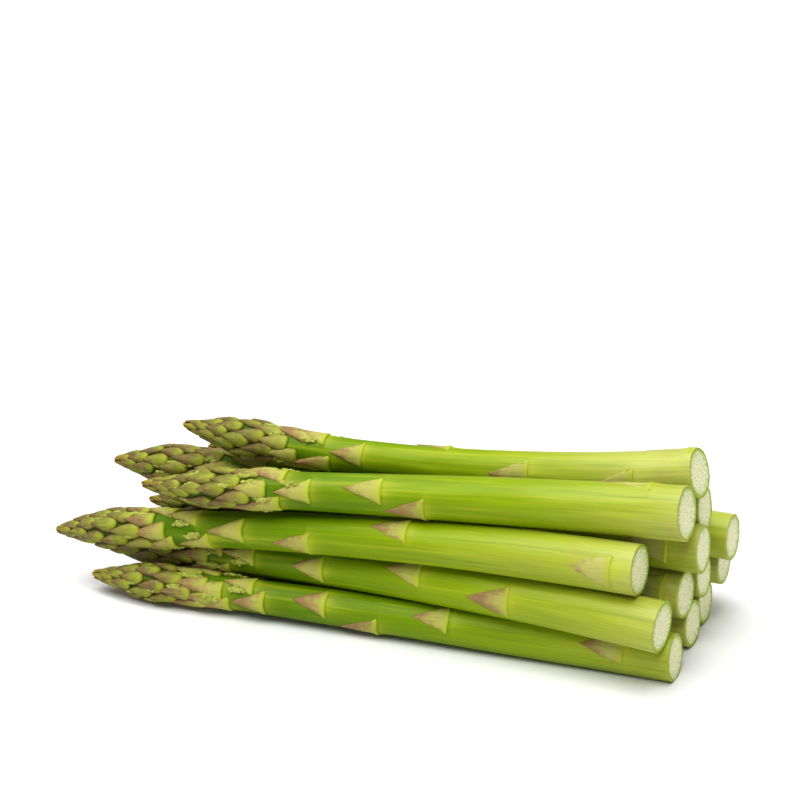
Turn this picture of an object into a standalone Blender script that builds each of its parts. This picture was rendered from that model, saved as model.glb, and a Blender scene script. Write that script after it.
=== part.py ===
"""Bundle of asparagus: thirteen cut spears lying loosely on top of one another.

X runs along the bundle with the cut ends at +X, Y runs across it and Z is up. Metres.
Each spear grew as one piece, so each one is a single closed solid.
"""

import math

import bmesh
import bpy
import numpy as np
from mathutils import Vector

# ---- sizes shared by all spears ----
SPEAR_LENGTH = 0.218
BUTT_RADIUS = 0.0085
NECK_RATIO = 0.69       # radius just under the head, against the butt
BULGE_RATIO = 0.92      # widest radius of the head, against the butt
HEAD_LENGTH = 0.054     # neck to tip
BULGE_TO_TIP = 0.028    # widest place of the head to the tip
TIP_RADIUS = 0.0006
AIR_GAP = 0.0003        # kept between two spears that touch

# ---- scale leaves, which are counted round the spear in sides of its skin ----
SIDES = 15
LEAF_PROUD = 0.00034    # how far a leaf's foot stands off the stalk
LEAF_LIP = 0.0006       # the slope from the stalk up to the leaf's foot
LEAF_LENGTH = 0.0125
LEAF_HALF = 2           # sides covered on each side of the leaf's middle line
LEAF_TURN = 6           # sides from one leaf to the next round the stalk
STALK_LEAVES = 5
FIRST_LEAF = 0.018      # from the cut end to the lowest leaf
SCALE_PROUD = 0.0011    # relief of the head between the middle of a scale and its edge
SCALE_ROWS = 12
SCALES_IN_ROW = 3
ROW_TURN = 2            # sides from one row of head scales to the next

# ---- laying the pile down ----
REST_STATIONS = 80

DIAMETER = 2 * BUTT_RADIUS

# The pile, lowest spears first. Girth and length are against the sizes above. Setback is how far
# the cut end stands back from the common end plane. Butt and tip are places across the bundle and
# arch is the rise of the middle. Setback, butt, tip and arch are in butt diameters.
PILE = [
    # name        girth  length setback  butt    tip   arch  first side
    ("spear_01", 0.96, 1.03, 0.00, 0.05, -0.60, 0.00, 8),
    ("spear_02", 0.96, 0.96, 0.03, 1.64, 1.08, 0.05, 2),
    ("spear_03", 0.94, 0.97, 0.05, 2.83, 2.38, 0.00, 12),
    ("spear_04", 0.94, 0.98, 0.00, 2.32, 1.70, 0.04, 4),
    ("spear_05", 1.02, 1.03, 0.17, -0.57, 0.50, 0.29, 1),
    ("spear_06", 0.99, 0.97, 0.11, 1.16, 1.01, 0.00, 6),
    ("spear_07", 0.94, 0.97, -0.16, 3.60, 2.50, 0.00, 11),
    ("spear_08", 1.04, 1.06, 0.73, -0.36, -0.14, 0.33, 13),
    ("spear_09", 0.97, 0.98, -0.20, 1.20, 0.30, 0.00, 3),
    ("spear_10", 0.97, 0.96, -0.42, 3.08, 2.75, -0.05, 10),
    ("spear_11", 1.08, 0.92, -0.03, 0.28, -0.52, 0.05, 5),
    ("spear_12", 0.97, 1.06, 0.00, 2.08, 1.33, 0.00, 14),
    ("spear_13", 0.98, 0.91, 0.00, 1.39, 1.12, -0.43, 9),
]


def smooth_step(t):
    t = np.clip(t, 0.0, 1.0)
    return t * t * (3 - 2 * t)


def girth_at(s, length, butt):
    """Outer radius of a spear at s from its cut end."""
    neck_at = length - HEAD_LENGTH
    bulge_at = length - BULGE_TO_TIP
    neck = butt * NECK_RATIO
    bulge = butt * BULGE_RATIO
    stalk = butt + (neck - butt) * np.clip(s / neck_at, 0.0, 1.0) ** 1.1
    swell = neck + (bulge - neck) * smooth_step((s - neck_at) / (bulge_at - neck_at))
    left = np.clip((length - s) / BULGE_TO_TIP, 0.0, 1.0)
    nose = TIP_RADIUS + (bulge - TIP_RADIUS) * np.sin(math.pi / 2 * left ** 0.85)
    return np.where(s < neck_at, stalk, np.where(s < bulge_at, swell, nose))


class Spear:
    """One spear's middle line and girth."""

    def __init__(self, name, girth, length, setback, butt_y, tip_y, arch, first_side):
        self.name = name
        self.butt = BUTT_RADIUS * girth
        self.length = SPEAR_LENGTH * length
        self.butt_x = -setback * DIAMETER
        self.butt_y = butt_y * DIAMETER
        self.tip_y = tip_y * DIAMETER
        self.arch = arch * DIAMETER
        self.first_side = first_side
        across = self.tip_y - self.butt_y
        self.tip_x = self.butt_x - math.sqrt(self.length ** 2 - across ** 2)
        self.butt_z = 0.0
        self.tip_z = 0.0

    def share(self, x):
        """0 at the cut end, 1 at the tip."""
        return (self.butt_x - x) / (self.butt_x - self.tip_x)

    def line(self, t):
        x = self.butt_x + (self.tip_x - self.butt_x) * t
        y = self.butt_y + (self.tip_y - self.butt_y) * t
        z = self.butt_z + (self.tip_z - self.butt_z) * t + self.arch * 4 * t * (1 - t)
        return x, y, z

    def radius(self, t):
        return girth_at(t * self.length, self.length, self.butt)

    def place(self, t, angle, radius):
        """A point at a share t of the length, at an angle round the middle line."""
        middle = Vector(self.line(t))
        along = (Vector(self.line(t + 0.002)) - Vector(self.line(t - 0.002))).normalized()
        up = (Vector((0, 0, 1)) - along * along.z).normalized()
        side = along.cross(up)
        return middle + (up * math.cos(angle) + side * math.sin(angle)) * radius


def settle(spear, below):
    """Lays a spear down on the spears below it and on the ground."""
    xs = np.linspace(spear.tip_x + 0.004, spear.butt_x - 0.0005, REST_STATIONS)
    t = spear.share(xs)
    own = spear.radius(t)
    _, y, bend = spear.line(t)
    need = own.copy()
    for other in below:
        u = other.share(xs)
        inside = (u > 0) & (u < 1)
        u = np.clip(u, 0, 1)
        _, other_y, other_z = other.line(u)
        reach = own + other.radius(u) + 2 * LEAF_PROUD + AIR_GAP
        aside = np.abs(y - other_y)
        over = inside & (aside < reach)
        top = other_z + np.sqrt(np.clip(reach ** 2 - aside ** 2, 0, None))
        need = np.maximum(need, np.where(over, top, 0.0))
    need = need - bend
    balance = float(np.sum(xs * own ** 2) / np.sum(own ** 2))
    hull = []
    for point in zip(xs, need):
        while len(hull) > 1:
            run = hull[-1][0] - hull[-2][0]
            rise = hull[-1][1] - hull[-2][1]
            if rise * (point[0] - hull[-2][0]) > (point[1] - hull[-2][1]) * run:
                break
            hull.pop()
        hull.append(point)
    for left, right in zip(hull, hull[1:]):
        if left[0] <= balance <= right[0]:
            break
    slope = (right[1] - left[1]) / (right[0] - left[0])
    spear.butt_z = float(left[1] + slope * (spear.butt_x - left[0]))
    spear.tip_z = float(left[1] + slope * (spear.tip_x - left[0]))


def stalk_stations(spear):
    """Stations of the stalk: distance from the cut end and the relief of each raised side."""
    stations = [(0.0, {})]
    room = spear.length - HEAD_LENGTH - FIRST_LEAF
    for i in range(STALK_LEAVES):
        # the leaves come closer together towards the head
        foot = FIRST_LEAF + room * (1 - (1 - i / STALK_LEAVES) ** 1.35)
        middle = spear.first_side + i * LEAF_TURN
        full = {(middle + k) % SIDES: LEAF_PROUD for k in range(-LEAF_HALF, LEAF_HALF + 1)}
        half = {(middle + k) % SIDES: LEAF_PROUD for k in range(1 - LEAF_HALF, LEAF_HALF)}
        stations.append((foot - LEAF_LIP, {}))
        stations.append((foot, full))
        stations.append((foot + LEAF_LENGTH * 0.5, half))
        stations.append((foot + LEAF_LENGTH, {middle % SIDES: LEAF_PROUD / 2}))
    return stations


def head_stations(spear):
    """Stations of the head: rows of scales, each row turned against the one below it."""
    neck = spear.length - HEAD_LENGTH
    stations = []
    for row in range(SCALE_ROWS):
        at = neck + HEAD_LENGTH * (row + 0.5) / (SCALE_ROWS + 0.5)
        fade = 1 - row / SCALE_ROWS
        low = {k: -SCALE_PROUD * fade for k in range(SIDES)}
        for j in range(SCALES_IN_ROW):
            middle = spear.first_side + row * ROW_TURN + j * SIDES // SCALES_IN_ROW
            low[middle % SIDES] = 0.0
            low[(middle + 1) % SIDES] = -SCALE_PROUD * fade * 0.3
            low[(middle - 1) % SIDES] = -SCALE_PROUD * fade * 0.3
        stations.append((at, low))
    stations.append((spear.length, {}))
    return stations


def make_spear(spear, shade, collection):
    """A circle extruded ring by ring from the cut end to the tip, and closed at both ends."""
    skin = bmesh.new()
    bmesh.ops.create_circle(skin, cap_ends=True, segments=SIDES, radius=1.0)
    ring = list(skin.verts)
    first = True
    for at, relief in stalk_stations(spear) + head_stations(spear):
        if not first:
            edges = [e for e in skin.edges if e.verts[0] in ring and e.verts[1] in ring]
            grown = bmesh.ops.extrude_edge_only(skin, edges=edges)["geom"]
            after = {}
            for edge in (g for g in grown if isinstance(g, bmesh.types.BMEdge)):
                for vert in edge.verts:
                    for side in vert.link_edges:
                        if side.other_vert(vert) in ring:
                            after[ring.index(side.other_vert(vert))] = vert
            ring = [after[k] for k in range(SIDES)]
        first = False
        t = at / spear.length
        for k, vert in enumerate(ring):
            radius = float(spear.radius(t)) + relief.get(k, 0.0)
            vert.co = spear.place(t, 2 * math.pi * k / SIDES, radius)
    bmesh.ops.holes_fill(skin, edges=[e for e in skin.edges if e.is_boundary], sides=SIDES)
    bmesh.ops.recalc_face_normals(skin, faces=skin.faces)
    mesh = bpy.data.meshes.new(spear.name)
    skin.to_mesh(mesh)
    skin.free()
    mesh.materials.append(make_material(spear, shade))
    for face in mesh.polygons:
        face.use_smooth = len(face.vertices) == 4
    body = bpy.data.objects.new(spear.name, mesh)
    collection.objects.link(body)
    return body


def make_material(spear, shade):
    material = bpy.data.materials.new(spear.name + "_green")
    material.use_nodes = True
    shader = material.node_tree.nodes["Principled BSDF"]
    shader.inputs["Base Color"].default_value = (0.20 + 0.05 * shade, 0.36 + 0.05 * shade, 0.05, 1)
    shader.inputs["Roughness"].default_value = 0.42
    return material


def centre_on_ground(bodies):
    """Moves the pile so that the middle of its base is at the origin."""
    corners = np.array([v.co for body in bodies for v in body.data.vertices])
    low = corners.min(axis=0)
    high = corners.max(axis=0)
    shift = Vector((-(low[0] + high[0]) / 2, -(low[1] + high[1]) / 2, -low[2]))
    for body in bodies:
        for vert in body.data.vertices:
            vert.co += shift


def build():
    for old in list(bpy.data.objects):
        bpy.data.objects.remove(old)
    collection = bpy.data.collections.new("bundle_of_asparagus")
    bpy.context.scene.collection.children.link(collection)
    laid = []
    for row in PILE:
        spear = Spear(*row)
        settle(spear, laid)
        laid.append(spear)
    bodies = [make_spear(spear, (i * 5 % 7) / 6, collection) for i, spear in enumerate(laid)]
    centre_on_ground(bodies)


build()
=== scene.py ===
import math
import random
from types import SimpleNamespace

import bpy
import numpy as np
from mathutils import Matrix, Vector


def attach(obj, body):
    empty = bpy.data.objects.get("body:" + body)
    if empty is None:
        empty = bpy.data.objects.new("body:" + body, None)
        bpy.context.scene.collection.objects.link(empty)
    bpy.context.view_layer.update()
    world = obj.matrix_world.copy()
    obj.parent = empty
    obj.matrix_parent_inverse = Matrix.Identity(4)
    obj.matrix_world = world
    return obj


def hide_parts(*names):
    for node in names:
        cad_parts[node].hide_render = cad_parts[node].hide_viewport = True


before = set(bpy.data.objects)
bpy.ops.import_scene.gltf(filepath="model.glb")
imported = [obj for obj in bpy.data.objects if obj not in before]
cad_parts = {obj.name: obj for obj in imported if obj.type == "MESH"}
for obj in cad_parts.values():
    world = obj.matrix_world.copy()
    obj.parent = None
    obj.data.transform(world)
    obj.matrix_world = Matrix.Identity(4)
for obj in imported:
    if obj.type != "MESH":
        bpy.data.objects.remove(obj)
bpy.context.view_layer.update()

phaseReach = 6.28            # about a whole turn, for random phases
firstSeed = 400
grainShift = (0.37, 0.11, -0.07)


def deselectAll():
    bpy.ops.object.select_all(action="DESELECT")


def useOnly(thing):
    deselectAll()
    thing.select_set(True)
    bpy.context.view_layer.objects.active = thing


def smooth(value):
    value = np.clip(value, 0.0, 1.0)
    return value * value * (3 - 2 * value)


def hump(value, middle, width):
    # 1 at the middle and next to nothing two widths away
    return np.exp(-((value - middle) / width) ** 2)


def blended(first, last, share):
    return first + (last - first) * share


def colour(red, green, blue):
    # 0 to 255 as on a screen, to the linear values that a shader takes
    linear = [c / 12.92 if c <= 0.04045 else ((c + 0.055) / 1.055) ** 2.4
              for c in (red / 255, green / 255, blue / 255)]
    return (*linear, 1.0)


spearShape = {
    "neckRatio": 0.69,        # radius just under the head, against the cut end
    "bulgeRatio": 0.92,       # widest radius of the head, against the cut end
    "headLength": 0.054,
    "bulgeToTip": 0.028,
    "tipRadius": 0.0006,
    "tipInset": 0.2,          # of the tip radius
    "taper": 1.1,             # 1 would be a straight cone up to the neck
    "noseRound": 0.85,
    "capDepth": 0.0002,       # corners this near to the end belong to the cut face
    "lineSamples": 60,
    "directionStep": 0.002,   # of the length, to either side
}


def readSpear(name):
    # middle line, length and radius of the cut end, all from the node's own corners
    corners = np.array([v.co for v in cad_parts[name].data.vertices])
    corners = np.unique(np.round(corners, 7), axis=0)
    spear = SimpleNamespace(name=name)
    spear.acrossFit = np.polyfit(corners[:, 0], corners[:, 1], 1)
    spear.heightFit = np.polyfit(corners[:, 0], corners[:, 2], 2)
    endX = corners[:, 0].max()
    along = np.array([1.0, spear.acrossFit[0], np.polyval(np.polyder(spear.heightFit), endX)])
    along /= np.linalg.norm(along)
    reach = corners @ along
    cap = corners[reach > reach.max() - spearShape["capDepth"]]
    spear.buttX = float(cap[:, 0].mean())
    spear.butt = float(np.linalg.norm(cap - cap.mean(axis=0), axis=1).mean())
    spear.tipX = float(corners[:, 0].min() + spearShape["tipRadius"] * spearShape["tipInset"])
    middle = middleAt(spear, np.linspace(0, 1, spearShape["lineSamples"]))
    spear.length = float(np.linalg.norm(np.diff(middle, axis=0), axis=1).sum())
    spear.neckAt = spear.length - spearShape["headLength"]
    return spear


def middleAt(spear, share):
    x = spear.buttX + (spear.tipX - spear.buttX) * share
    return np.stack([x, np.polyval(spear.acrossFit, x), np.polyval(spear.heightFit, x)], -1)


def placeOn(spear, distance, angle, radius):
    # points at a distance from the cut end, an angle round the middle line and a radius;
    # angle 0 is up and 90 degrees is the back of the bundle, and nothing goes under the floor
    share = np.asarray(distance) / spear.length
    step = spearShape["directionStep"]
    along = middleAt(spear, share + step) - middleAt(spear, share - step)
    along /= np.linalg.norm(along, axis=-1, keepdims=True)
    up = np.array([0.0, 0.0, 1.0]) - along * along[..., 2:3]
    up /= np.linalg.norm(up, axis=-1, keepdims=True)
    side = np.cross(along, up)
    angle = np.asarray(angle)[..., None]
    radius = np.asarray(radius)[..., None]
    points = middleAt(spear, share) + (up * np.cos(angle) + side * np.sin(angle)) * radius
    points[..., 2] = np.maximum(points[..., 2], 0.0)
    return points


def girthAt(spear, distance):
    bulgeAt = spear.length - spearShape["bulgeToTip"]
    neck = spear.butt * spearShape["neckRatio"]
    bulge = spear.butt * spearShape["bulgeRatio"]
    narrowing = np.clip(distance / spear.neckAt, 0, 1) ** spearShape["taper"]
    stalk = blended(spear.butt, neck, narrowing)
    swell = blended(neck, bulge, smooth((distance - spear.neckAt) / (bulgeAt - spear.neckAt)))
    left = np.clip((spear.length - distance) / spearShape["bulgeToTip"], 0, 1)
    rounded = np.sin(math.pi / 2 * left ** spearShape["noseRound"])
    nose = blended(spearShape["tipRadius"], bulge, rounded)
    return np.where(distance < spear.neckAt, stalk, np.where(distance < bulgeAt, swell, nose))


def ageAt(spear, at):
    # 0 at the cut end, 1 at the neck and 2 at the tip
    if at < spear.neckAt:
        return at / spear.neckAt
    return 1 + (at - spear.neckAt) / spearShape["headLength"]


class Wire:
    # one socket, so that sums on it read as sums
    def __init__(self, finish, socket):
        self.finish = finish
        self.socket = socket

    def sum(self, operation, first, second):
        return self.finish.node("ShaderNodeMath", {"operation": operation}, [first, second])

    def __add__(self, other):
        return self.sum("ADD", self, other)

    def __radd__(self, other):
        return self.sum("ADD", other, self)

    def __sub__(self, other):
        return self.sum("SUBTRACT", self, other)

    def __rsub__(self, other):
        return self.sum("SUBTRACT", other, self)

    def __mul__(self, other):
        return self.sum("MULTIPLY", self, other)

    def __rmul__(self, other):
        return self.sum("MULTIPLY", other, self)


class Finish:
    # a material and the few ways its nodes are made
    def __init__(self, name):
        self.material = bpy.data.materials.new(name)
        self.material.use_nodes = True
        self.tree = self.material.node_tree
        self.shader = self.tree.nodes["Principled BSDF"]

    def node(self, kind, settings, values, output=0):
        made = self.tree.nodes.new(kind)
        for name, value in settings.items():
            if name == "stops":
                self.setStops(made.color_ramp.elements, value)
            else:
                setattr(made, name, value)
        pairs = values.items() if isinstance(values, dict) else enumerate(values)
        for key, value in pairs:
            self.feed(made.inputs[key], value)
        return Wire(self, made.outputs[output])

    def setStops(self, elements, stops):
        # a new ramp has two stops already
        for extra in range(len(stops) - 2):
            elements.new(0.5)
        for stop, (at, tone) in zip(elements, stops):
            stop.position = at
            stop.color = tone

    def feed(self, socket, value):
        if isinstance(value, Wire):
            self.tree.links.new(value.socket, socket)
        else:
            socket.default_value = value

    def attribute(self, name, output="Fac"):
        return self.node("ShaderNodeAttribute", {"attribute_name": name}, [], output)

    def parts(self, vector):
        split = self.node("ShaderNodeSeparateXYZ", {}, [vector])
        return [Wire(self, out) for out in split.socket.node.outputs]

    def noise(self, vector, scale, detail, roughness=0.5):
        return self.node("ShaderNodeTexNoise", {"noise_dimensions": "3D"},
                         {"Vector": vector, "Scale": scale, "Detail": detail,
                          "Roughness": roughness})

    def stretched(self, vector, scales):
        return self.node("ShaderNodeVectorMath", {"operation": "MULTIPLY"}, [vector, scales])

    def stretchedNoise(self, vector, scales, detail):
        return self.noise(self.stretched(vector, scales), 1.0, detail)

    def cells(self, vector, scale):
        return self.node("ShaderNodeTexVoronoi", {"feature": "F1"},
                         {"Vector": vector, "Scale": scale}, "Distance")

    def spread(self, value, low, high):
        # 0 at low and 1 at high, with a soft passage; low may be the greater
        return self.node("ShaderNodeMapRange", {"interpolation_type": "SMOOTHSTEP"},
                         [value, low, high, 0.0, 1.0])

    def mix(self, share, first, second):
        settings = {"data_type": "RGBA", "blend_type": "MIX", "clamp_factor": True}
        return self.node("ShaderNodeMix", settings, {0: share, 6: first, 7: second}, 2)

    def stained(self, tone, value, stain, within=None):
        # a stain is where it starts, where it is full, its strength and its colour
        start, full, strength, tint = stain
        amount = self.spread(value, start, full)
        if within is not None:
            amount = amount * within
        return self.mix(amount * strength, tone, tint)

    def ramp(self, value, stops):
        return self.node("ShaderNodeValToRGB", {"stops": stops}, [value])

    def relief(self, height, depth, below=None):
        # depth is the strength and the distance in metres
        values = {"Height": height, "Strength": depth[0], "Distance": depth[1]}
        if below is not None:
            values["Normal"] = below
        return self.node("ShaderNodeBump", {}, values, "Normal")

    def shade(self, **sockets):
        for name, value in sockets.items():
            self.feed(self.shader.inputs[name.replace("_", " ")], value)
        return self.material


# grain runs in metres along and across the straightened spear, so a scale of 1000 gives
# figures of about a millimetre; a row of three scales is along, across and across

skinLook = {
    # by share of the stalk, 0 at the cut end and 1 at the neck
    "greens": [(0.0, colour(178, 183, 92)), (0.14, colour(161, 174, 54)),
               (0.40, colour(136, 158, 4)), (0.72, colour(112, 142, 0)),
               (1.0, colour(84, 118, 0))],
    "wanderGrain": (14, 60, 60),
    "wanderReach": 0.30,
    "tintReach": 0.10,
    "broadGrain": (10, 420, 420),
    "fineGrain": (26, 1700, 1700),
    "fibreGrain": (18, 900, 900),
    "cloudScale": 90.0,
    "broadPale": (0.52, 0.76, 0.40, colour(186, 188, 54)),
    "broadDeep": (0.46, 0.24, 0.28, colour(72, 98, 0)),
    "fineDeep": (0.40, 0.66, 0.15, colour(72, 98, 0)),
    "fibrePale": (0.60, 0.70, 0.22, colour(186, 188, 54)),
    "rosy": (0.52, 0.75, 0.35, colour(168, 148, 84)),
    "rosyShares": (0.30, 0.02),
    "knotPale": 0.55,
    "knotTone": colour(186, 188, 54),
    # painted shade: within the head the stalk's core is darkened, so the gaps between the scales
    # look shaded
    "paintedHeadShade": (1.05, 1.18, 0.7, colour(44, 66, 0)),
    "swellGrain": (34, 150, 150),
    "swellDepth": (0.6, 0.0022),
    "streakDepth": (0.5, 0.00028),
    "streakShares": (0.35, 0.65),    # of the fine grain and of the broad one
    "poreGrain": (700, 1300, 1300),
    "poreDepth": (0.06, 0.00008),
    "sheenShares": (0.60, 0.05),
    "sheenAdded": 0.30,
    "sheenLeast": 0.05,
    "sheenRoughness": 0.42,
    "roughness": (0.34, 0.16),       # the least, and what the grain adds
    "shine": 0.14,
}


def skinFinish():
    look = skinLook
    skin = Finish("asparagusSkin")
    grain = skin.attribute("grain", "Vector")
    share = skin.attribute("share")
    tint = skin.attribute("tint")
    wander = skin.stretchedNoise(grain, look["wanderGrain"], 2.0)
    tone = skin.ramp(share + (wander - 0.5) * look["wanderReach"] + tint * look["tintReach"],
                     look["greens"])
    broad = skin.stretchedNoise(grain, look["broadGrain"], 3.0)
    fine = skin.stretchedNoise(grain, look["fineGrain"], 2.0)
    fibres = skin.stretchedNoise(grain, look["fibreGrain"], 2.0)
    cloud = skin.noise(grain, look["cloudScale"], 3.0)
    tone = skin.stained(tone, broad, look["broadPale"])
    tone = skin.stained(tone, broad, look["broadDeep"])
    tone = skin.stained(tone, fine, look["fineDeep"])
    tone = skin.stained(tone, fibres, look["fibrePale"])
    tone = skin.stained(tone, cloud, look["rosy"], skin.spread(share, *look["rosyShares"]))
    tone = skin.mix(skin.attribute("knot") * look["knotPale"], tone, look["knotTone"])
    # painted shade on the stalk's core within the head, where it shows between the scales
    tone = skin.stained(tone, share, look["paintedHeadShade"])
    swells = skin.stretchedNoise(grain, look["swellGrain"], 1.0)
    pores = skin.cells(skin.stretched(grain, look["poreGrain"]), 1.0)
    normal = skin.relief(swells, look["swellDepth"])
    finePart, broadPart = look["streakShares"]
    normal = skin.relief(fine * finePart + broad * broadPart, look["streakDepth"], normal)
    normal = skin.relief(pores, look["poreDepth"], normal)
    sheen = skin.spread(share, *look["sheenShares"]) * look["sheenAdded"] + look["sheenLeast"]
    least, added = look["roughness"]
    return skin.shade(Base_Color=tone, Roughness=least + broad * added, Normal=normal,
                      Specular_IOR_Level=look["shine"], Coat_Weight=sheen,
                      Coat_Roughness=look["sheenRoughness"])


cutLook = {
    # by share of the way out from the middle of the cut face
    "flesh": [(0.0, colour(212, 204, 140)), (0.28, colour(218, 216, 168)),
              (0.72, colour(210, 216, 158)), (0.90, colour(168, 190, 80))],
    "raggedScale": 1100.0,
    "raggedReach": 0.14,
    "strandScale": 980.0,
    "strands": (0.46, 0.10, 0.85, colour(150, 166, 78)),
    "strandShares": (0.05, 0.50),
    "mealyScale": 1500.0,
    "mealyRoughness": 0.75,
    "mealy": (0.47, 0.60, 0.85, colour(246, 246, 226)),
    "rayGrain": (14, 14, 1.6),
    "rays": (0.50, 0.66, 0.8, colour(146, 166, 64)),
    "rayShares": (0.45, 0.80),
    "rim": (0.80, 0.95, 1.0, colour(146, 168, 4)),
    "depth": (0.6, 0.00022),
    "depthShares": (0.7, 0.3),       # of the mealy grain and of the strands
    "roughness": (0.45, 0.2),
    "shine": 0.18,
}


def cutFinish():
    look = cutLook
    flesh = Finish("asparagusCut")
    grain = flesh.attribute("grain", "Vector")
    spoke = flesh.attribute("spoke")
    ragged = flesh.noise(grain, look["raggedScale"], 3.0)
    ring = spoke + (ragged - 0.5) * look["raggedReach"]
    dots = flesh.cells(grain, look["strandScale"])
    mealy = flesh.noise(grain, look["mealyScale"], 4.0, look["mealyRoughness"])
    rays = flesh.stretchedNoise(flesh.attribute("ray", "Vector"), look["rayGrain"], 3.0)
    tone = flesh.ramp(ring, look["flesh"])
    tone = flesh.stained(tone, dots, look["strands"], flesh.spread(spoke, *look["strandShares"]))
    tone = flesh.stained(tone, mealy, look["mealy"])
    tone = flesh.stained(tone, rays, look["rays"], flesh.spread(spoke, *look["rayShares"]))
    tone = flesh.stained(tone, ring, look["rim"])
    mealyPart, strandPart = look["depthShares"]
    normal = flesh.relief(mealy * mealyPart + dots * strandPart, look["depth"])
    least, added = look["roughness"]
    return flesh.shade(Base_Color=tone, Roughness=least + mealy * added, Normal=normal,
                       Specular_IOR_Level=look["shine"])


leafLook = {
    "headAges": (1.02, 1.30),
    "buttAges": (0.55, 0.05),
    "flesh": colour(170, 168, 88),
    "headFlesh": colour(131, 136, 53),
    "buttFlesh": colour(180, 180, 104),
    "blush": colour(146, 116, 80),
    "headBlush": colour(114, 96, 61),
    "buttFleshShare": 0.7,
    # what the place along, the place across, the cloud and the leaf's own chance add up to
    "blushWeights": (0.9, 0.5, 0.9, 0.4),
    # for a leaf of the stalk, then what is added in the head and what at the cut end
    "blushFrom": (0.22, -0.04, 0.04),
    "blushFull": (0.80, -0.06, 0.1),
    "footCloud": 0.26,
    "footFrom": (0.22, 0.16),
    "footFull": -0.02,
    "footShare": (0.90, -0.30),
    "edgeAlong": 0.55,
    "veinGrain": (110, 1300, 1300),
    "cloudScale": 380.0,
    "cloudRoughness": 0.6,
    "margin": (0.66, 0.92, 0.8, colour(146, 104, 82)),
    "edge": (0.92, 1.12, 0.55, colour(104, 72, 46)),
    "paleVeins": (0.50, 0.78, 0.36, colour(184, 182, 96)),
    "deepVeins": (0.46, 0.24, 0.36, colour(78, 86, 20)),
    "foot": colour(170, 182, 46),
    "nearTip": (1.80, 1.92, 0.6, colour(168, 150, 46)),
    # painted shade: the scales of the head are darkened where they lie low, near the core, so
    # their hollows look shaded
    "paintedHollowShade": (0.62, 0.10, 0.75, colour(52, 56, 12)),
    "paintedHollowShadeAges": (0.95, 1.12),
    "depth": (0.45, 0.0003),
    "depthShares": (0.6, 0.4),       # of the veins and of the cloud
    "roughness": (0.46, 0.2),
    "shine": 0.16,
}


def leafFinish():
    look = leafLook
    leaf = Finish("asparagusLeaf")
    along, across, chance = leaf.parts(leaf.attribute("leafPlace", "Vector"))
    age = leaf.attribute("age")
    grain = leaf.attribute("grain", "Vector")
    veins = leaf.stretchedNoise(grain, look["veinGrain"], 3.0)
    cloud = leaf.noise(grain, look["cloudScale"], 4.0, look["cloudRoughness"])
    side = across * across
    inHead = leaf.spread(age, *look["headAges"])
    atButt = leaf.spread(age, *look["buttAges"])
    flesh = leaf.mix(inHead, look["flesh"], look["headFlesh"])
    flesh = leaf.mix(atButt * look["buttFleshShare"], flesh, look["buttFlesh"])
    blush = leaf.mix(inHead, look["blush"], look["headBlush"])
    # the blush gathers towards the point and the sides of a leaf
    byPoint, bySide, byCloud, byChance = look["blushWeights"]
    gathered = (along * byPoint + side * bySide + (cloud - 0.5) * byCloud
                + (chance - 0.5) * byChance)
    start, startInHead, startAtButt = look["blushFrom"]
    full, fullInHead, fullAtButt = look["blushFull"]
    brown = leaf.spread(gathered, start + inHead * startInHead + atButt * startAtButt,
                        full + inHead * fullInHead + atButt * fullAtButt)
    tone = leaf.mix(brown, flesh, blush)
    tone = leaf.stained(tone, side, look["margin"], atButt)
    tone = leaf.stained(tone, side + along * look["edgeAlong"], look["edge"])
    tone = leaf.stained(tone, veins, look["paleVeins"])
    tone = leaf.stained(tone, veins, look["deepVeins"])
    footEnd, footEndInHead = look["footFrom"]
    footPart, footPartInHead = look["footShare"]
    foot = leaf.spread(along + (cloud - 0.5) * look["footCloud"],
                       footEnd + inHead * footEndInHead, look["footFull"])
    tone = leaf.mix(foot * (footPart + inHead * footPartInHead), tone, look["foot"])
    tone = leaf.stained(tone, age, look["nearTip"])
    # painted shade darkens the scales of the head where they lie low
    tone = leaf.stained(tone, leaf.attribute("proud"), look["paintedHollowShade"],
                        leaf.spread(age, *look["paintedHollowShadeAges"]))
    veinPart, cloudPart = look["depthShares"]
    normal = leaf.relief(veins * veinPart + cloud * cloudPart, look["depth"])
    least, added = look["roughness"]
    return leaf.shade(Base_Color=tone, Roughness=least + veins * added, Normal=normal,
                      Specular_IOR_Level=look["shine"])


budLook = {
    "plain": colour(146, 156, 60),
    "pale": colour(172, 176, 88),
    "paleReach": (0.30, 0.70),
    "paleChance": 0.4,
    "lumpScale": 1800.0,
    "cloudScale": 300.0,
    "crests": (0.55, 0.80, 0.3, colour(188, 184, 96)),
    # painted shade: darker in the hollows between the lumps
    "paintedDipShade": (0.42, 0.20, 0.4, colour(96, 96, 32)),
    "nib": (1.5, 2.5, 1.0, colour(158, 124, 40)),      # only a nib is given an age over 1
    "depth": (0.7, 0.0003),
    "roughness": (0.46, 0.15),
    "shine": 0.2,
}


def budFinish():
    look = budLook
    bud = Finish("asparagusBud")
    grain = bud.attribute("grain", "Vector")
    age = bud.attribute("age")
    lumps = bud.noise(grain, look["lumpScale"], 3.0)
    cloud = bud.noise(grain, look["cloudScale"], 2.0)
    paleness = bud.spread(cloud + (age - 0.5) * look["paleChance"], *look["paleReach"])
    tone = bud.mix(paleness, look["plain"], look["pale"])
    tone = bud.stained(tone, lumps, look["crests"])
    # painted shade in the hollows between the lumps
    tone = bud.stained(tone, lumps, look["paintedDipShade"])
    tone = bud.stained(tone, age, look["nib"])
    normal = bud.relief(lumps, look["depth"])
    least, added = look["roughness"]
    return bud.shade(Base_Color=tone, Roughness=least + lumps * added, Normal=normal,
                     Specular_IOR_Level=look["shine"])


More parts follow.
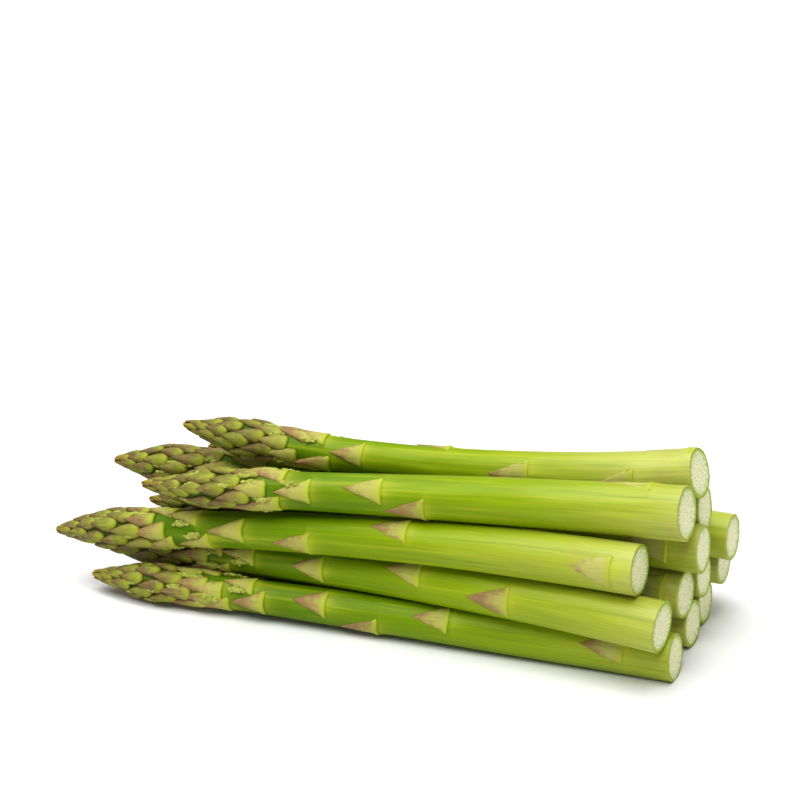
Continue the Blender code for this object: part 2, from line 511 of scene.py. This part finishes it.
finishes = {"skin": skinFinish(), "cut": cutFinish(), "leaf": leafFinish(), "bud": budFinish()}
print("materials made")


def keepAttribute(thing, name, kind, values):
    mesh = thing.data
    layer = mesh.attributes.get(name) or mesh.attributes.new(name, kind, "POINT")
    key = "vector" if kind == "FLOAT_VECTOR" else "value"
    layer.data.foreach_set(key, np.asarray(values, dtype=np.float32).ravel())


def cornersOf(thing):
    flat = np.zeros(len(thing.data.vertices) * 3)
    thing.data.vertices.foreach_get("co", flat)
    return flat.reshape(-1, 3)


def putCorners(thing, corners):
    thing.data.vertices.foreach_set("co", np.asarray(corners).ravel())
    thing.data.update()


def grainOf(distance, angle, radius, seed):
    # the straightened spear, moved aside by a different amount for each spear
    return np.stack([distance + seed * grainShift[0],
                     radius * np.cos(angle) + seed * grainShift[1],
                     radius * np.sin(angle) + seed * grainShift[2]], -1)


# the three shapes that leaves and buds are copied from: the segments of a ball, and how far
# along the leaf each of its rings lies
templateShape = {
    "poleReach": 1e-5,
    "blade": (16, [0, 0.0, 0.05, 0.13, 0.26, 0.42, 0.60, 0.78, 0.92, 1.0]),
    "scale": (10, [0, 0.0, 0.09, 0.26, 0.48, 0.70, 0.88, 1.0]),
    "bud": (6, [0, 0.25, 0.5, 0.75, 1.0]),
}


def shieldTemplate(name):
    # a closed shield: one pole of the ball is the middle of its foot, the other its point
    segments, alongRings = templateShape[name]
    rings = len(alongRings) - 1
    deselectAll()
    bpy.ops.mesh.primitive_uv_sphere_add(segments=segments, ring_count=rings, radius=1)
    shield = bpy.context.active_object
    shield.name = name + "Shape"
    ball = cornersOf(shield)
    ring = np.arccos(np.clip(-ball[:, 2], -1, 1)) / math.pi * rings
    turn = np.arctan2(ball[:, 1], ball[:, 0])
    pole = np.hypot(ball[:, 0], ball[:, 1]) < templateShape["poleReach"]
    return {"thing": shield, "along": np.interp(ring, range(rings + 1), alongRings),
            "across": np.where(pole, 0, np.cos(turn)),
            "rise": np.where(pole, 0, np.sin(turn)), "pole": pole}


def copyOf(template, material):
    thing = template["thing"].copy()
    thing.data = template["thing"].data.copy()
    bpy.context.scene.collection.objects.link(thing)
    thing.data.materials.clear()
    thing.data.materials.append(finishes[material])
    return thing


def joined(things, name):
    deselectAll()
    for thing in things:
        thing.select_set(True)
    bpy.context.view_layer.objects.active = things[0]
    if len(things) > 1:
        bpy.ops.object.join()
    whole = bpy.context.active_object
    whole.name = name
    whole.data.name = name
    bpy.ops.object.mode_set(mode="EDIT")
    bpy.ops.mesh.select_all(action="SELECT")
    bpy.ops.mesh.normals_make_consistent(inside=False)
    bpy.ops.object.mode_set(mode="OBJECT")
    bpy.ops.object.shade_smooth()
    return whole


coreShape = {
    "proud": 0.00036,         # makes up for the room that the frame leaves between spears
    "coreFrom": 0.004,        # past the neck
    "coreOver": 0.016,
    "coreThin": 0.30,
    "noseFrom": 0.026,        # before the tip
    "noseOver": 0.020,
    "noseThin": 0.22,
    "least": 0.0003,
    "fullness": {"spear_12": 1.30, "spear_13": 1.06, "spear_01": 1.14, "spear_08": 1.10},
}


def coreAt(spear, distance):
    # radius of the skin of the stalk and, within the head, of the core that carries the scales
    core = smooth((distance - spear.neckAt - coreShape["coreFrom"]) / coreShape["coreOver"])
    nose = smooth((distance - spear.length + coreShape["noseFrom"]) / coreShape["noseOver"])
    full = 1 + (coreShape["fullness"].get(spear.name, 1.0) - 1) * core
    thinned = 1 - coreShape["coreThin"] * core - coreShape["noseThin"] * nose
    radius = girthAt(spear, distance) * full * thinned
    return np.maximum(radius + coreShape["proud"] * (1 - core), coreShape["least"])


leafShape = {
    # by age, which is 0 at the cut end, 1 at the neck and 2 at the tip
    "age": [0.0, 0.6, 1.0, 1.25, 1.7, 2.0],
    "length": [0.0172, 0.0136, 0.0130, 0.0128, 0.0100, 0.0064],
    "halfWidth": [0.0064, 0.0056, 0.0044, 0.0036, 0.0029, 0.0013],
    "footHeight": [0.0007, 0.0008, 0.0010, 0.0010, 0.0006, 0.0002],
    "bladeHeight": [0.00030, 0.00045, 0.0012, 0.0021, 0.0017, 0.0005],
    "tipHeight": [0.00010, 0.00030, 0.0012, 0.0017, 0.0011, 0.0001],
    "thickness": [0.0005, 0.0006, 0.0011, 0.0018, 0.0016, 0.0006],
    "flare": [0.10, 0.16, 0.20, 0.08, 0.0, 0.0],
    # half width along the leaf, for an old leaf and for one in the head
    "stops": [0.0, 0.05, 0.13, 0.26, 0.42, 0.60, 0.78, 0.92, 1.0],
    "oldOutline": [0.93, 1.0, 0.94, 0.82, 0.66, 0.46, 0.26, 0.10, 0.0],
    "youngOutline": [0.42, 0.66, 0.86, 1.0, 0.95, 0.72, 0.42, 0.16, 0.0],
    # place along the leaf, which height it has there, and what share of it
    "heightStops": [(0.0, "footHeight", 0.72), (0.05, "footHeight", 1.0),
                    (0.16, "bladeHeight", 0.85), (0.45, "bladeHeight", 1.0),
                    (1.0, "tipHeight", 1.0)],
    "bladesUpTo": 1.02,
    "youngFrom": 0.85,
    "youngOver": 0.5,
    "footPlace": 0.03,
    "footWidth": 0.08,
    "lengthSpread": (0.90, 1.10),
    "widthSpread": (0.92, 1.08),
    "heightSpread": (0.85, 1.2),
    "wave": 0.05,
    "waveAlong": 9,
    "waveAcross": 2,
    "bow": (-0.0009, 0.0006),
    "bowPower": 2.5,
    "bend": (-0.16, 0.16),
    "curl": 0.0005,
    "curlSpread": (-0.6, 1.3),
    "tipClear": 0.0005,
    "keel": 0.30,             # how much lower the sides are than the middle
    "keelAtFoot": 0.42,       # taken off the keel at the foot of an old leaf
    "keelPower": 1.5,
    "footReach": 0.3,         # the share of the leaf that is sunk in the stalk
    "sunk": 0.0011,
    "leastThickness": 0.0002,
    "dome": (0.45, 0.35),     # power of an old leaf, and what a young one adds
    "pointFrom": 0.999,
    "pointDome": 0.6,
    "underDome": 0.3,
    "edgeReach": 1e-4,
    "sideShare": 0.15,        # height of the very edge, against the top
    "pointShare": 0.75,
    "wrapLeast": 0.0022,
    "wrapAdded": 0.0006,
    "bendLeast": 0.003,
}


def byAge(key, age):
    return float(np.interp(age, leafShape["age"], leafShape[key]))


def leafOutline(shape, age, young, foot, phase):
    # half width along the leaf, as a share of the widest
    along, across = shape["along"], shape["across"]
    outline = (np.interp(along, leafShape["stops"], leafShape["oldOutline"]) * (1 - young)
               + np.interp(along, leafShape["stops"], leafShape["youngOutline"]) * young)
    outline = outline * (1 + byAge("flare", age) * foot * np.abs(across) ** 3)
    ripple = np.sin(along * leafShape["waveAlong"] + phase + across * leafShape["waveAcross"])
    return outline * (1 + leafShape["wave"] * ripple)


def leafHeights(shape, age, young, foot, fullness):
    # height over the surface that carries the leaf, and the greatest height of all
    along, across, rise = shape["along"], shape["across"], shape["rise"]
    stops = leafShape["heightStops"]
    heights = np.interp(along, [place for place, key, part in stops],
                        [byAge(key, age) * part for place, key, part in stops])
    heights = heights * fullness
    keelHere = leafShape["keel"] - leafShape["keelAtFoot"] * foot * (1 - young)
    keel = 1 - keelHere * np.abs(across) ** leafShape["keelPower"]
    oldDome, youngDome = leafShape["dome"]
    rounded = np.where(along > leafShape["pointFrom"], leafShape["pointDome"],
                       np.abs(rise) ** (oldDome + youngDome * young))
    top = heights * keel * rounded
    under = np.where(along < leafShape["footReach"], -leafShape["sunk"],
                     heights * young - byAge("thickness", age))
    under = np.minimum(under, top - leafShape["leastThickness"])
    edge = leafShape["edgeReach"]
    below = np.where(rise < -edge, under * np.abs(rise) ** leafShape["underDome"],
                     top * leafShape["sideShare"])
    height = np.where(rise > edge, top, below)
    point = shape["pole"] & (along > 0.5)
    return np.where(point, heights * leafShape["pointShare"], height), heights.max()


def leafOn(spear, at, turn, chance, seed):
    age = ageAt(spear, at)
    shape = bladeShape if age < leafShape["bladesUpTo"] else scaleShape
    leaf = copyOf(shape, "leaf")
    along, across = shape["along"], shape["across"]
    young = float(smooth((age - leafShape["youngFrom"]) / leafShape["youngOver"]))
    foot = hump(along, leafShape["footPlace"], leafShape["footWidth"])
    length = byAge("length", age) * chance.uniform(*leafShape["lengthSpread"])
    width = byAge("halfWidth", age) * chance.uniform(*leafShape["widthSpread"])
    outline = leafOutline(shape, age, young, foot, chance.uniform(0, phaseReach))
    bow = chance.uniform(*leafShape["bow"]) * (1 - young)
    bend = chance.uniform(*leafShape["bend"])
    distance = at + length * along + bow * foot * np.abs(across) ** leafShape["bowPower"]
    distance = np.minimum(distance, spear.length - leafShape["tipClear"])
    surface = coreAt(spear, distance)
    height, highest = leafHeights(shape, age, young, foot,
                                  chance.uniform(*leafShape["heightSpread"]))
    curl = young * leafShape["curl"] * chance.uniform(*leafShape["curlSpread"]) * along ** 3
    wrap = np.maximum(surface + leafShape["wrapAdded"], leafShape["wrapLeast"])
    angle = turn + across * outline * width / wrap
    angle = angle + bend * along * width / np.maximum(surface, leafShape["bendLeast"])
    radius = surface + height + curl
    putCorners(leaf, placeOn(spear, distance, angle, radius))
    keepAttribute(leaf, "leafPlace", "FLOAT_VECTOR",
                  np.stack([along, across * np.clip(outline, 0, 1),
                            np.full_like(along, chance.random())], -1))
    keepAttribute(leaf, "age", "FLOAT", np.full_like(along, age))
    keepAttribute(leaf, "proud", "FLOAT", np.clip(height / highest, 0, 1))
    keepAttribute(leaf, "grain", "FLOAT_VECTOR", grainOf(distance, angle, radius, seed))
    return leaf, length, width


shootShape = {
    "size": 0.00125,
    "shrink": 0.40,
    "shrinkFrom": 1.25,       # age
    "shrinkOver": 0.45,
    "lift": 0.22,             # of the height of the leaf
    "aside": (0.50, 0.78),    # of the half width of the leaf
    "middle": (0.42, 0.56),   # of the length of the leaf
    "stretch": (2.0, 2.6),
    "lumps": 8,
    "lumpReach": 0.92,
    "lumpShift": 0.0003,
    "lumpTilt": 0.9,
    "lumpLift": 0.5,
    "lumpSize": (0.42, 0.66),
    "lumpStretch": (1.2, 2.2),
    "endShare": 0.1,
    "wrapLeast": 0.002,
}


def budOn(spear, at, turn, height, size, stretch, chance, seed):
    bud = copyOf(budShape, "bud")
    along, across, rise = budShape["along"], budShape["across"], budShape["rise"]
    wide = np.sin(math.pi * along)
    distance = at + (along - 0.5) * 2 * size * stretch
    middle = float(coreAt(spear, np.array(at)))
    angle = turn + across * wide * size / max(middle, shootShape["wrapLeast"])
    radius = coreAt(spear, distance) + height + rise * wide * size
    putCorners(bud, placeOn(spear, distance, angle, radius))
    keepAttribute(bud, "grain", "FLOAT_VECTOR", grainOf(distance, angle, radius, seed))
    keepAttribute(bud, "age", "FLOAT", np.full_like(along, chance.random()))
    return bud


def budsBeside(spear, at, turn, length, width, chance, seed):
    # a lumpy side shoot that shows past one edge of a leaf
    look = shootShape
    age = ageAt(spear, at)
    shrunk = look["shrink"] * smooth((age - look["shrinkFrom"]) / look["shrinkOver"])
    size = look["size"] * (1 - shrunk)
    radius = float(girthAt(spear, np.array(at + length * 0.5)))
    lift = byAge("bladeHeight", age) * look["lift"]
    side = chance.choice((-1, 1))
    lean = side * width * chance.uniform(*look["aside"]) / radius
    middle = at + length * chance.uniform(*look["middle"])
    stretch = chance.uniform(*look["stretch"])
    buds = [budOn(spear, middle, turn + lean, lift, size, stretch, chance, seed)]
    for number in range(look["lumps"]):
        place = number / (look["lumps"] - 1) * 2 - 1
        shift = chance.uniform(-look["lumpShift"], look["lumpShift"])
        where = middle + place * size * stretch * look["lumpReach"] + shift
        reach = size * math.sqrt(max(look["endShare"], 1 - place * place))
        tilt = chance.uniform(-look["lumpTilt"], look["lumpTilt"]) * reach
        rise = lift + math.sqrt(max(0.0, reach ** 2 - tilt ** 2)) * look["lumpLift"]
        lumpSize = size * chance.uniform(*look["lumpSize"])
        lumpStretch = chance.uniform(*look["lumpStretch"])
        buds.append(budOn(spear, where, turn + lean + tilt / radius, rise, lumpSize,
                          lumpStretch, chance, seed))
    return buds


leafPlacing = {
    "goldenTurn": 137.5,
    "count": 10,
    "lowest": 0.012,
    "neckClear": 0.002,
    "crowding": 1.45,
    "shift": 0.004,
    "turnShift": 12,
    "shootsFrom": 0.90,       # the age from which a leaf has a side shoot
    # distance from the cut end in millimetres and angle in degrees, for the spears that show
    # most; the others are given leaves by chance
    "chosen": {
        "spear_08": [(8, -82), (84, -36), (122, -104), (149, -68), (163, -122), (168, -24),
                     (40, 70), (103, 90), (140, 60), (158, 100), (173, 160)],
        "spear_05": [(22, 120), (54, -86), (89, -42), (128, -76), (157, -56), (108, 80),
                     (143, 100), (165, 30), (168, -130)],
        "spear_01": [(17, -58), (81, -50), (108, -128), (128, -56), (152, -86), (157, -22),
                     (166, -120), (169, -64), (50, 100), (96, 70), (140, 110), (162, 60)],
        "spear_11": [(12, 12), (92, -116), (108, -54), (135, -68), (145, -8), (147, -120),
                     (40, -200), (70, 80), (125, 100), (142, 60)],
        "spear_13": [(2, 20), (21.5, -98), (60, -78), (92, 30), (124, -60), (140, -8),
                     (137, -120), (45, 100), (106, 120), (135, 70)],
        "spear_12": [(20, 70), (66, 10), (110, -50), (140, 60), (166, -28), (169, 40),
                     (173, -90)],
        "spear_06": [(7, -62), (48, 80), (92, -60), (120, 60), (144, -80), (150, 90)],
    },
}


def leafPlaces(spear, chance):
    chosen = leafPlacing["chosen"].get(spear.name)
    if chosen:
        return [(at / 1000, math.radians(turn)) for at, turn in chosen]
    places = []
    turn = chance.uniform(0, 360)
    highest = spear.neckAt - leafPlacing["neckClear"]
    for number in range(leafPlacing["count"]):
        share = 1 - (1 - number / leafPlacing["count"]) ** leafPlacing["crowding"]
        at = blended(leafPlacing["lowest"], highest, share)
        at += chance.uniform(-leafPlacing["shift"], leafPlacing["shift"])
        places.append((at, math.radians(turn)))
        shift = chance.uniform(-leafPlacing["turnShift"], leafPlacing["turnShift"])
        turn += leafPlacing["goldenTurn"] + shift
    return places


headShape = {
    "scales": 44,
    "lowest": 0.0545,         # foot of the lowest scale, from the tip
    "highest": 0.0060,
    "crowding": 1.15,
    "turnShift": 6,
    "shift": 0.0006,
    "shootsUpTo": 0.72,       # share of the scales, from the lowest
    "shootShare": 0.62,
    "nibs": 4,
    "nibFromTip": 0.0016,
    "nibTurn": 1.6,
    "nibSize": 0.00075,
    "nibStretch": 2.6,
    "nibAge": 3.0,
}


def headOf(spear, chance, seed):
    things = []
    turn = chance.uniform(0, 360)
    for number in range(headShape["scales"]):
        share = number / (headShape["scales"] - 1)
        fromTip = blended(headShape["lowest"], headShape["highest"],
                          1 - (1 - share) ** headShape["crowding"])
        at = spear.length - fromTip + chance.uniform(-headShape["shift"], headShape["shift"])
        angle = math.radians(turn)
        scale, length, width = leafOn(spear, at, angle, chance, seed)
        things.append(scale)
        if share < headShape["shootsUpTo"] and chance.random() < headShape["shootShare"]:
            things += budsBeside(spear, at, angle, length, width, chance, seed)
        shift = chance.uniform(-headShape["turnShift"], headShape["turnShift"])
        turn += leafPlacing["goldenTurn"] + shift
    for number in range(headShape["nibs"]):
        nib = budOn(spear, spear.length - headShape["nibFromTip"],
                    turn + number * headShape["nibTurn"], 0.0, headShape["nibSize"],
                    headShape["nibStretch"], chance, seed)
        keepAttribute(nib, "age", "FLOAT",
                      np.full(len(nib.data.vertices), headShape["nibAge"]))
        things.append(nib)
    return things


stalkShape = {
    "around": 44,
    # share of the radius at each ring of the cut face
    "cutShares": (0.0, 0.2, 0.4, 0.58, 0.74, 0.86, 0.94, 0.975),
    "rimShare": 0.993,
    "rim": 0.00035,           # rounding of the cut edge
    "rimMiddle": 0.3,
    "ring": 0.0017,           # spacing of the rings along the stalk
    "firstRing": 0.0012,
    "ringsClear": 0.002,
    "lastRing": 0.0008,       # before the tip
    "seam": 0.6,              # of half a turn
    # a living stalk is never quite round: size, humps around, share of the phase, along
    "waves": [(0.012, 2, 1, 9), (0.006, 5, 2, -14), (0.004, 9, 3, 5), (0.006, 0, 1, 95)],
    "knot": 0.00042,
    "knotLength": 0.0026,
    "knotWide": 0.75,
    "knotFade": 0.0030,
    "rib": 0.00010,
    "ribAside": 0.78,
    "ribWide": 0.09,
    "ribFade": 0.022,
    "slant": 8.5,
    # the two that lie across already face the front
    "slants": {"spear_05": 4, "spear_08": 7},
    "slantSpread": 2,
    "lean": 124,
    "leanSpread": 10,
    "slantFade": 0.006,
    "dish": 0.0003,
    "ragged": 0.00012,
    "raggedWide": 0.04,
    "raggedFade": 0.0006,
    # below 0 is paler and yellower, above 0 a deeper green
    "tints": {"spear_13": -1.5, "spear_01": 1.2, "spear_08": -0.2, "spear_11": 0.0,
              "spear_05": 0.2, "spear_12": -0.4},
    "tintSpread": 0.8,
    "mergeReach": 1e-6,
    "sharpFrom": 40,          # degrees between two faces
}


def stalkRows(spear):
    # from the middle of the cut face, over its rim and along the skin to the tip: distance
    # from the cut end, and share of the radius there
    rim = stalkShape["rim"]
    rows = [(0.0, share) for share in stalkShape["cutShares"]]
    rows += [(rim * stalkShape["rimMiddle"], stalkShape["rimShare"]), (rim, 1.0)]
    body = np.arange(stalkShape["firstRing"], spear.length - stalkShape["ringsClear"],
                     stalkShape["ring"])
    rows += [(float(at), 1.0) for at in body]
    rows += [(spear.length - stalkShape["lastRing"], 1.0), (spear.length, 0.0)]
    return rows


def addKnots(radius, leaves, angle, distance):
    # a knot under each leaf, and two faint ribs that run down from the corners of its foot
    knot = np.zeros_like(angle)
    for at, turn in leaves:
        aside = np.abs((angle - turn + math.pi) % (2 * math.pi) - math.pi)
        behind = at - distance
        wide = hump(aside, 0, stalkShape["knotWide"])
        radius += stalkShape["knot"] * hump(behind, 0, stalkShape["knotLength"]) * wide
        ribs = (hump(aside, stalkShape["ribAside"], stalkShape["ribWide"])
                * np.exp(-np.clip(behind, 0, 1) / stalkShape["ribFade"]))
        radius += stalkShape["rib"] * ribs * (behind > 0)
        fade = np.where(behind > 0, np.exp(-behind / stalkShape["knotFade"]), 0)
        knot = np.maximum(knot, fade * wide)
    return knot


def cutMoves(spear, row, column, distance, share, angle, radius, chance):
    # the knife went through a little aslant, the face dries hollow and its rim is uneven
    degrees = stalkShape["slants"].get(spear.name, stalkShape["slant"])
    slant = math.radians(degrees + chance.uniform(-stalkShape["slantSpread"],
                                                  stalkShape["slantSpread"]))
    lean = math.radians(stalkShape["lean"] + chance.uniform(-stalkShape["leanSpread"],
                                                            stalkShape["leanSpread"]))
    uneven = -math.tan(slant) * radius * share * np.cos(angle - lean)
    onFace = row < len(stalkShape["cutShares"])
    dish = np.where(onFace, stalkShape["dish"] * (1 - share ** 2), 0.0)
    ragged = np.array([chance.uniform(-1, 1) for place in range(stalkShape["around"])])
    rim = hump(share, 1, stalkShape["raggedWide"]) * np.exp(-distance / stalkShape["raggedFade"])
    uneven = uneven + stalkShape["ragged"] * ragged[column] * rim
    fade = np.clip(1 - distance / stalkShape["slantFade"], 0, 1)
    return uneven * fade, dish


def closeStalk(stalk):
    # the grid's long sides meet and its ends shrink to points
    useOnly(stalk)
    bpy.ops.object.mode_set(mode="EDIT")
    bpy.ops.mesh.select_all(action="SELECT")
    bpy.ops.mesh.remove_doubles(threshold=stalkShape["mergeReach"])
    bpy.ops.mesh.normals_make_consistent(inside=False)
    bpy.ops.object.mode_set(mode="OBJECT")
    bpy.ops.object.shade_smooth_by_angle(angle=math.radians(stalkShape["sharpFrom"]))


def stalkOf(spear, leaves, chance, seed):
    rows = stalkRows(spear)
    around = stalkShape["around"]
    deselectAll()
    bpy.ops.mesh.primitive_grid_add(x_subdivisions=len(rows) - 1, y_subdivisions=around, size=2)
    stalk = bpy.context.active_object
    flat = cornersOf(stalk)
    row = np.rint((flat[:, 0] + 1) / 2 * (len(rows) - 1)).astype(int)
    column = np.rint((flat[:, 1] + 1) / 2 * around).astype(int) % around
    angle = math.pi * flat[:, 1] + math.pi * stalkShape["seam"]
    distance = np.array([at for at, share in rows])[row]
    share = np.array([share for at, share in rows])[row]
    radius = coreAt(spear, distance)
    phase = chance.uniform(0, phaseReach)
    for size, humps, phases, along in stalkShape["waves"]:
        radius *= 1 + size * np.sin(humps * angle + phase * phases + distance * along)
    knot = addKnots(radius, leaves, angle, distance)
    uneven, dish = cutMoves(spear, row, column, distance, share, angle, radius, chance)
    moved = distance + uneven + dish
    putCorners(stalk, placeOn(spear, moved, angle, radius * share))
    keepAttribute(stalk, "grain", "FLOAT_VECTOR", grainOf(distance, angle, radius * share, seed))
    keepAttribute(stalk, "share", "FLOAT", distance / spear.neckAt)
    keepAttribute(stalk, "spoke", "FLOAT", share)
    keepAttribute(stalk, "ray", "FLOAT_VECTOR",
                  np.stack([np.cos(angle), np.sin(angle), share + phase], -1))
    keepAttribute(stalk, "knot", "FLOAT", np.clip(knot, 0, 1))
    anyTint = chance.uniform(-stalkShape["tintSpread"], stalkShape["tintSpread"])
    tint = stalkShape["tints"].get(spear.name, anyTint)
    keepAttribute(stalk, "tint", "FLOAT", np.full_like(angle, tint))
    stalk.data.materials.append(finishes["skin"])
    stalk.data.materials.append(finishes["cut"])
    cutRows = len(stalkShape["cutShares"])
    cut = [all(row[v] < cutRows for v in face.vertices) for face in stalk.data.polygons]
    stalk.data.polygons.foreach_set("material_index", np.array(cut, dtype=np.int32))
    closeStalk(stalk)
    return stalk


def leavesOf(spear, leaves, chance, seed):
    things = []
    for at, turn in leaves:
        blade, length, width = leafOn(spear, at, turn, chance, seed)
        things.append(blade)
        if ageAt(spear, at) > leafPlacing["shootsFrom"]:
            things += budsBeside(spear, at, turn, length, width, chance, seed)
    return things


def buildSpear(name, seed):
    spear = readSpear(name)
    chance = random.Random(firstSeed + seed)
    tag = name[-2:]
    leaves = leafPlaces(spear, chance)
    stalk = stalkOf(spear, leaves, chance, seed)
    stalk.name = "stalk" + tag
    foliage = joined(leavesOf(spear, leaves, chance, seed), "leaves" + tag)
    head = joined(headOf(spear, chance, seed), "head" + tag)
    for piece in (stalk, foliage, head):
        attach(piece, "root")
        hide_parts(name)


bladeShape = shieldTemplate("blade")
scaleShape = shieldTemplate("scale")
budShape = shieldTemplate("bud")
for order, spearName in enumerate(sorted(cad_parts)):
    buildSpear(spearName, order)
for template in (bladeShape, scaleShape, budShape):
    bpy.data.objects.remove(template["thing"])
print("spears made")


studio = {
    "floorSize": 6.0,
    "floorSteps": 80,
    "floorFlat": 1.45,        # radius of the flat part
    "floorRise": 0.32,
    "floorDrop": 0.0002,
    "floorTone": (0.77, 0.77, 0.77, 1),
    "skyTone": (1, 1, 1, 1),
    "skyStrength": 0.15,
    "stripPlace": (-0.15, 0.25, 0.9),
    "stripAim": (0, 0, 0.03),
    "stripSize": (1.0, 0.4),
    "stripPower": 3.0,
    "sunPower": 3.15,
    "sunWidth": 56,           # degrees, for soft shadows
    "sunFrom": (-0.07, -0.32, 1.0),
    "cameraPlace": (0.2684, -0.6787, 0.3456),
    "cameraTurn": 21.18,
    "cameraFall": 20.04,
    "lens": 95.5,
    "sensor": 36,
    "nearest": 0.01,          # where the camera begins to see
}


def paperFloor():
    # flat under the bundle, then curving up far out, as studio paper does
    deselectAll()
    bpy.ops.mesh.primitive_grid_add(x_subdivisions=studio["floorSteps"],
                                    y_subdivisions=studio["floorSteps"],
                                    size=studio["floorSize"])
    floor = bpy.context.active_object
    floor.name = "floor"
    sheet = cornersOf(floor)
    beyond = np.maximum(np.hypot(sheet[:, 0], sheet[:, 1]) - studio["floorFlat"], 0)
    sheet[:, 2] = studio["floorRise"] * beyond ** 2 - studio["floorDrop"]
    putCorners(floor, sheet)
    bpy.ops.object.shade_smooth()
    paper = Finish("paleFloor")
    floor.data.materials.append(paper.shade(Base_Color=studio["floorTone"], Roughness=0.9,
                                            Specular_IOR_Level=0.1))


def paleSky():
    world = bpy.data.worlds.new("studio")
    bpy.context.scene.world = world
    world.use_nodes = True
    sky = world.node_tree.nodes["Background"].inputs
    sky["Color"].default_value = studio["skyTone"]
    sky["Strength"].default_value = studio["skyStrength"]


def stripLight():
    place = Vector(studio["stripPlace"])
    bpy.ops.object.light_add(type="AREA", location=place)
    lamp = bpy.context.active_object
    lamp.name = "stripLight"
    lamp.data.shape = "RECTANGLE"
    lamp.data.size, lamp.data.size_y = studio["stripSize"]
    lamp.data.energy = studio["stripPower"]
    away = Vector(studio["stripAim"]) - place
    lamp.rotation_euler = away.to_track_quat("-Z", "Y").to_euler()


def overheadLight():
    bpy.ops.object.light_add(type="SUN", location=(0, 0, 1))
    sun = bpy.context.active_object
    sun.name = "overheadLight"
    sun.data.energy = studio["sunPower"]
    sun.data.angle = math.radians(studio["sunWidth"])
    sun.rotation_euler = Vector(studio["sunFrom"]).to_track_quat("Z", "Y").to_euler()


def placeCamera():
    bpy.ops.object.camera_add(location=studio["cameraPlace"])
    camera = bpy.context.active_object
    camera.rotation_euler = (math.radians(90 - studio["cameraFall"]), 0,
                             math.radians(studio["cameraTurn"]))
    camera.data.lens = studio["lens"]
    camera.data.sensor_width = studio["sensor"]
    camera.data.clip_start = studio["nearest"]
    bpy.context.scene.camera = camera


paperFloor()
paleSky()
stripLight()
overheadLight()
placeCamera()
bpy.context.scene.view_settings.view_transform = "Standard"
bpy.context.scene.view_settings.look = "Medium High Contrast"
print("stage set")
